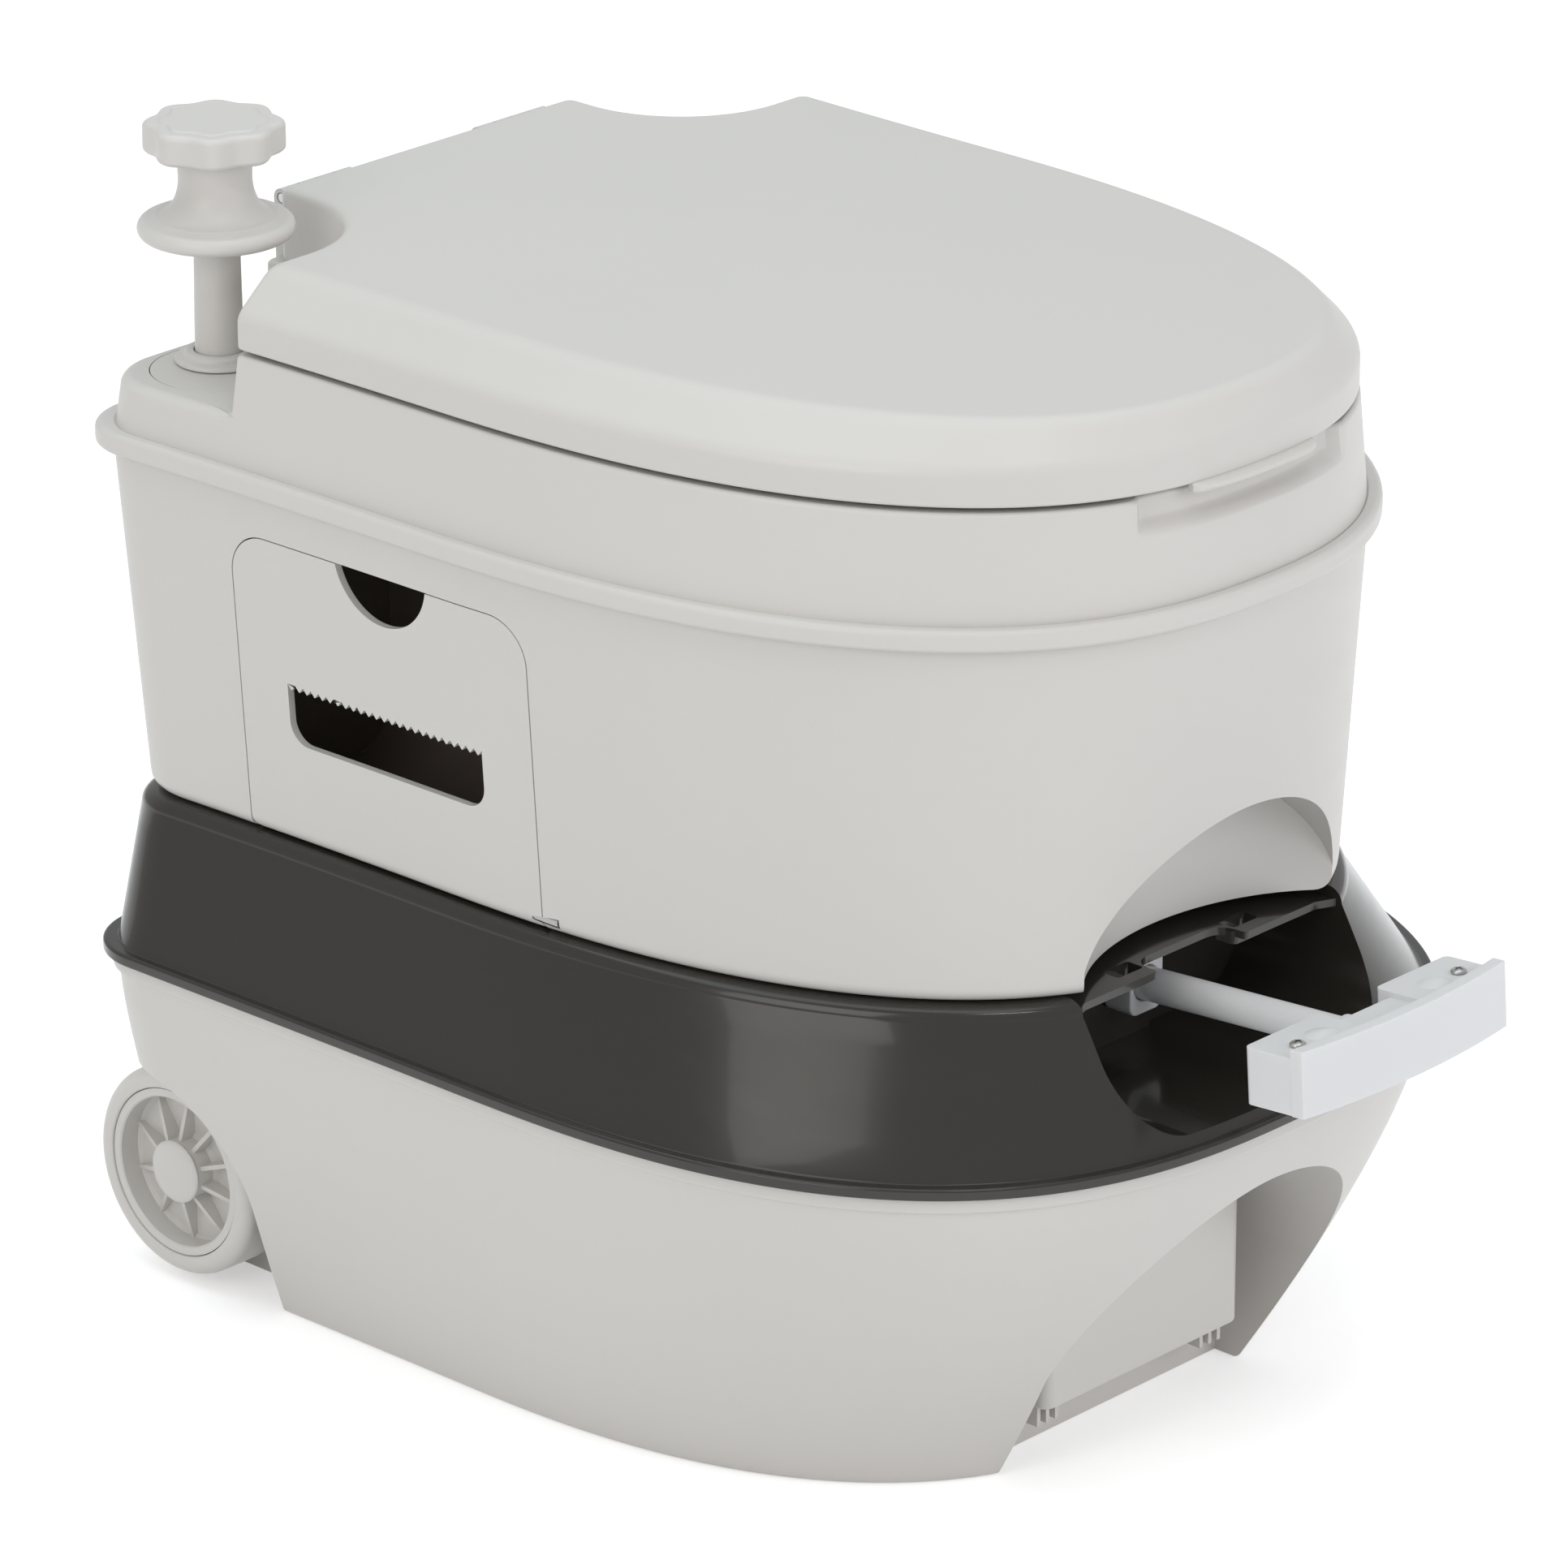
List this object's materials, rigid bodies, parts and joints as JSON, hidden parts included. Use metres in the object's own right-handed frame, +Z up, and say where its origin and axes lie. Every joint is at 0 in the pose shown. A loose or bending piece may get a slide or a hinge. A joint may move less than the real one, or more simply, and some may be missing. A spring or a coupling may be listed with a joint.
{
  "type": "portable cassette toilet",
  "caption": "Portable flush toilet in two stacked halves: water tank with bowl, seat, lid, hand pump and paper door over a wheeled waste tank with a slide valve.",
  "frame": {"origin": "middle of the part's footprint box, on the floor it stands on", "axes": "+Z up, -Y towards the rounded front with the pull handle, -X towards the hand pump and the paper door"},
  "size_m": [0.38, 0.549, 0.461],
  "materials": {
    "pale_plastic": "satin moulded light grey",
    "dark_plastic": "glossy moulded dark grey",
    "white_plastic": "satin moulded white, slightly translucent",
    "inner_plastic": "dull moulded dark grey",
    "steel": "plain drawn steel",
    "rubber": "soft black rubber"
  },
  "bodies": {
    "waste_tank": {"waste_tank_top": "dark_plastic", "waste_tank_bottom": "pale_plastic", "valve_housing": "inner_plastic", "valve_seal": "rubber", "rod_guide": "white_plastic", "axle": "steel"},
    "upper_unit": {"upper_tank_shell": "pale_plastic", "upper_deck": "pale_plastic", "bowl": "white_plastic", "bowl_seal": "rubber", "flush_nozzle": "white_plastic", "flush_tube": "white_plastic", "paper_liner": "inner_plastic", "door_pin_front": "steel", "door_pin_rear": "steel", "pump_cylinder": "pale_plastic", "pump_collar": "pale_plastic", "pump_cover_plate": "pale_plastic", "fill_neck": "pale_plastic", "hinge_pin_left": "steel", "hinge_pin_right": "steel"},
    "seat": {"seat_ring": "pale_plastic", "seat_bumper_left": "rubber", "seat_bumper_right": "rubber"},
    "lid": {"lid": "pale_plastic", "lid_bumper_left": "rubber", "lid_bumper_right": "rubber"},
    "pump": {"pump_rod": "pale_plastic", "pump_spool": "pale_plastic", "pump_knob_cap": "pale_plastic", "pump_piston": "pale_plastic", "piston_seal": "rubber"},
    "fill_cap": {"fill_cap": "pale_plastic", "fill_cap_seal": "rubber"},
    "paper_door": {"paper_door": "pale_plastic"},
    "valve_handle": {"handle_bar": "white_plastic", "handle_rod": "white_plastic", "handle_screw_left": "steel", "handle_screw_right": "steel", "valve_blade": "white_plastic"},
    "wheel_left": {"wheel_rim_left": "pale_plastic", "tyre_left": "pale_plastic", "hub_cap_left": "pale_plastic"},
    "wheel_right": {"wheel_rim_right": "pale_plastic", "tyre_right": "pale_plastic", "hub_cap_right": "pale_plastic"},
    "spout": {"spout_elbow": "dark_plastic"},
    "spout_cap": {"spout_cap": "dark_plastic", "spout_cap_seal": "rubber"},
    "vent_button": {"vent_button": "inner_plastic", "vent_seal": "rubber"}
  },
  "joints": [
    {"name": "halves_lift", "type": "slide", "parent": "waste_tank", "child": "upper_unit", "axis": [0, 0, 1], "range_m": [0, 0.15]},
    {"name": "seat_hinge", "type": "hinge", "parent": "upper_unit", "child": "seat", "pos_m": [0, 0.22685, 0.4125], "axis": [-1, 0, 0], "range_deg": [0, 95]},
    {"name": "lid_hinge", "type": "hinge", "parent": "seat", "child": "lid", "pos_m": [0, 0.22685, 0.4125], "axis": [-1, 0, 0], "range_deg": [0, 95]},
    {"name": "pump_stroke", "type": "slide", "parent": "upper_unit", "child": "pump", "axis": [0, 0, -1], "range_m": [0, 0.042]},
    {"name": "fill_cap_turn", "type": "hinge", "parent": "upper_unit", "child": "fill_cap", "pos_m": [0.125, 0.19685, 0.375], "axis": [0, 0, 1], "continuous": true},
    {"name": "paper_door_hinge", "type": "hinge", "parent": "upper_unit", "child": "paper_door", "pos_m": [-0.1554, 0.08135, 0.2076], "axis": [0, -1, 0], "range_deg": [0, 80]},
    {"name": "valve_pull", "type": "slide", "parent": "waste_tank", "child": "valve_handle", "axis": [0, 0.9973, -0.0732], "range_m": [0, 0.066]},
    {"name": "wheel_left_spin", "type": "hinge", "parent": "waste_tank", "child": "wheel_left", "pos_m": [-0.147, 0.20545, 0.046], "axis": [1, 0, 0], "continuous": true},
    {"name": "wheel_right_spin", "type": "hinge", "parent": "waste_tank", "child": "wheel_right", "pos_m": [0.147, 0.20545, 0.046], "axis": [1, 0, 0], "continuous": true},
    {"name": "spout_swivel", "type": "hinge", "parent": "waste_tank", "child": "spout", "pos_m": [0, 0.23485, 0.1735], "axis": [0, 1, 0], "range_deg": [-90, 90]},
    {"name": "spout_cap_turn", "type": "hinge", "parent": "spout", "child": "spout_cap", "pos_m": [0.036, 0.25465, 0.1735], "axis": [1, 0, 0], "continuous": true},
    {"name": "vent_press", "type": "slide", "parent": "waste_tank", "child": "vent_button", "axis": [0, -1, 0], "range_m": [0, 0.003], "stiffness_N_per_m": 300, "springref_m": -0.002}
  ]
}
